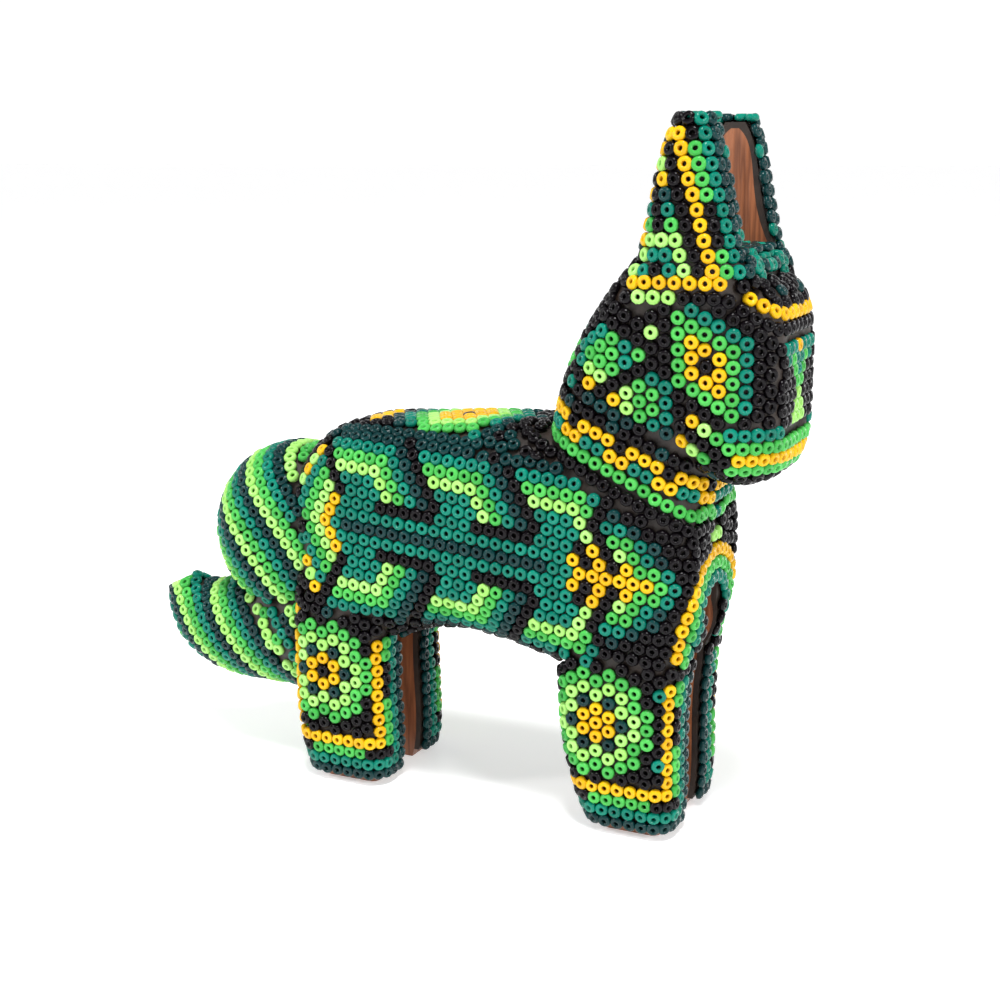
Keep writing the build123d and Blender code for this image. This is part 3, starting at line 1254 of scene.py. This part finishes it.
@dataclass
class Finery:
    """Turns the laid beads into pieces, one for each field and glass.

    Args:
        work: the beads.
        finishes: the finish of each glass.
    """

    work: Beadwork
    finishes: tuple[GlassFinish, ...]

    def build(self, rng: np.random.Generator) -> None:
        """Makes, dresses and reports every bead piece."""
        shape = BeadShape()
        owners = np.array(self.work.owners)
        letters = np.array(self.work.letters)
        materials = [finish.material() for finish in self.finishes]
        for region in Region:
            inside = np.isin(owners, region.coats)
            for finish, material in zip(self.finishes, materials):
                chosen = inside & (letters == finish.glass.value)
                if not chosen.any():
                    continue
                name = f"{region.value}_{finish.slot}"
                made = shape.piece(name, self.work.places[chosen], self.work.normals[chosen], rng)
                made.data.materials.append(material)
                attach(made, "root")
                finish.slot
                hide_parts(*region.coats)
                log.info("%s: %d beads", name, int(chosen.sum()))


@dataclass
class Core:
    """The wood and the wax, which are the frame's own solids.

    Args:
        wood: the finish of the carved body.
        peg: the finish of the tail's core and dowel.
        wax: the finish of the wax.
    """

    wood: WoodFinish
    peg: WoodFinish
    wax: WaxFinish

    def dress(self) -> None:
        """Gives each solid its material."""
        materials = {"wax": self.wax.material(), "body": self.wood.material(), "tail": self.peg.material()}
        for name, node in sorted(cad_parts.items()):
            kind = name.split("_")[0]
            if kind in materials:
                node.data.materials.clear()
                node.data.materials.append(materials[kind])
                log.info("%s: %s", name, kind)


@dataclass
class Studio:
    """The floor, the light and the camera.

    Args:
        paper: the finish of the floor.
        eye: where the camera stands, in millimetres.
        aim: the point that it looks at, in millimetres.
        lens: the focal length on a 36 mm sensor.
        roll: how far the camera leans, in degrees.
    """

    paper: PaperFinish
    eye: Triple = (113.4, -221.4, 104.5)
    aim: Triple = (8.96, 0.0, 48.71)
    lens: float = 55.87
    roll: float = -0.2

    def floor(self) -> None:
        """A wide flat sheet under the feet, in metres."""
        half = 8.0
        corners = [(-half, -half, 0), (half, -half, 0), (half, half, 0), (-half, half, 0)]
        mesh = bpy.data.meshes.new("floor")
        mesh.from_pydata(corners, [], [(0, 1, 2, 3)])
        sheet = add("floor", mesh)
        sheet.data.materials.append(self.paper.material())
        sheet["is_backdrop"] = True

    @staticmethod
    def lamp(name: str, place: Triple, size: float, watts: float) -> None:
        """A soft square lamp that faces the middle of the figure; its place and size are in metres."""
        data = bpy.data.lights.new(name, "AREA")
        data.size = size
        data.energy = watts
        lamp = add(name, data)
        lamp.location = place
        lamp.rotation_euler = (Vector((0.0, 0.0, 0.05)) - Vector(place)).to_track_quat("-Z", "Y").to_euler()
        lamp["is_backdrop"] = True

    def light(self) -> None:
        """A sky that is white round the horizon and dimmer above, a lamp above and one to each side."""
        world = bpy.data.worlds.new("sky")
        world.use_nodes = True
        world.node_tree.nodes.clear()
        graph = Graph(world)
        sockets = {0: graph.place("Generated"), 1: UP}
        height = graph.node("ShaderNodeVectorMath", {"operation": "DOT_PRODUCT"}, sockets)
        above = Value(graph, height.outputs["Value"]).between(0.28, 0.6)
        sockets = {"Color": (1.0, 1.0, 1.0, 1.0), "Strength": 1.06 - above * 0.76}
        sky = graph.node("ShaderNodeBackground", {}, sockets)
        graph.node("ShaderNodeOutputWorld", {}, {0: sky.outputs[0]})
        bpy.context.scene.world = world
        bpy.context.scene.view_settings.view_transform = "Standard"
        self.lamp("lamp_over", (0.15, -0.25, 0.9), 0.2, 8.5)
        self.lamp("lamp_left", (-0.75, -0.5, 0.5), 0.14, 3.6)
        self.lamp("lamp_front", (0.8, -0.45, 0.45), 0.14, 3.6)

    def camera(self) -> None:
        """The camera, looking at its aim."""
        data = bpy.data.cameras.new("camera")
        data.lens = self.lens
        data.sensor_width = 36.0
        data.clip_start = 0.01
        camera = add("camera", data)
        camera.location = Vector(self.eye) * MM
        look = (Vector(self.aim) - Vector(self.eye)).to_track_quat("-Z", "Y")
        lean = Quaternion((0.0, 0.0, 1.0), math.radians(self.roll))
        camera.rotation_euler = (look @ lean).to_euler()
        bpy.context.scene.camera = camera


# the third colour of each glass is painted shade for the holes and the creases between beads
GLASSES = (
    GlassFinish(Glass.BLACK, (0.004, 0.003, 0.004), (0.002, 0.001, 0.002), (0.0, 0.0, 0.0), coat=0.0),
    GlassFinish(Glass.DARK_TEAL, (0.003, 0.038, 0.038), (0.001, 0.017, 0.019), (0.0, 0.004, 0.005)),
    GlassFinish(Glass.TEAL, (0.002, 0.20, 0.135), (0.0, 0.11, 0.075), (0.0, 0.025, 0.02)),
    GlassFinish(Glass.GREEN, (0.072, 0.46, 0.080), (0.030, 0.28, 0.042), (0.004, 0.09, 0.01)),
    GlassFinish(Glass.LIGHT_GREEN, (0.36, 0.69, 0.18), (0.26, 0.57, 0.105), (0.07, 0.24, 0.02)),
    GlassFinish(Glass.YELLOW, (0.74, 0.45, 0.006), (0.60, 0.31, 0.002), (0.38, 0.11, 0.0)),
)


def lay_all(skin: Skin) -> Beadwork:
    """Lays every field, in the order in which one gives way to the next.

    Args:
        skin: the surface.

    Returns:
        All the beads.
    """
    work = Beadwork(skin)
    front = Leg(skin, (30.88, 18.33), "Y", (1.1, 3.2, 5.4, 7.8), -11.0)
    rear = Leg(skin, (-17.96, 19.58), "B", (1.1, 3.2, 5.3, 7.4), -7.2)
    head = Head(skin)
    fields = (
        ("front leg bands", front.frame_beads),
        ("rear leg bands", rear.frame_beads),
        ("front leg side", front.side_beads),
        ("rear leg side", rear.side_beads),
        ("chest", Chest(skin).beads),
        ("brow", head.brow),
        ("ear", Ear(skin).beads),
        ("collar", Collar(skin).beads),
        ("face", head.face),
        ("cheek", head.cheek),
        ("flank", Flank(skin).beads),
        ("back", Back(skin).beads),
        ("tail", Tail(skin).beads),
    )
    for name, beads in fields:
        log.info("%s: %d laid", name, work.lay(beads(), on_tail=name == "tail"))
    log.info("between: %d laid", work.fill(filler_letter, np.random.default_rng(SEED)))
    return work


def main() -> None:
    """Builds the figure."""
    cad_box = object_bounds()
    skin = Skin.from_frame()
    log.info("skin: %d triangles", len(skin.corners))
    Core(
        WoodFinish("wood_body", (0.36, 0.125, 0.05), (0.10, 0.03, 0.012), (0.0, 0.0, 0.0)),
        WoodFinish("wood_tail", (0.33, 0.12, 0.05), (0.10, 0.03, 0.012), (0.0, 0.6, 0.0)),
        WaxFinish((0.026, 0.013, 0.007), (0.009, 0.005, 0.003)),
    ).dress()
    work = lay_all(skin)
    Finery(work, GLASSES).build(np.random.default_rng(SEED + 1))
    studio = Studio(PaperFinish((0.96, 0.96, 0.965)))
    studio.floor()
    studio.light()
    studio.camera()
    boxes = {"cad": cad_box, "visual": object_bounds()}
    {name: [list(corner) for corner in box] for name, box in boxes.items()}


if __name__ == "__main__":
    main()
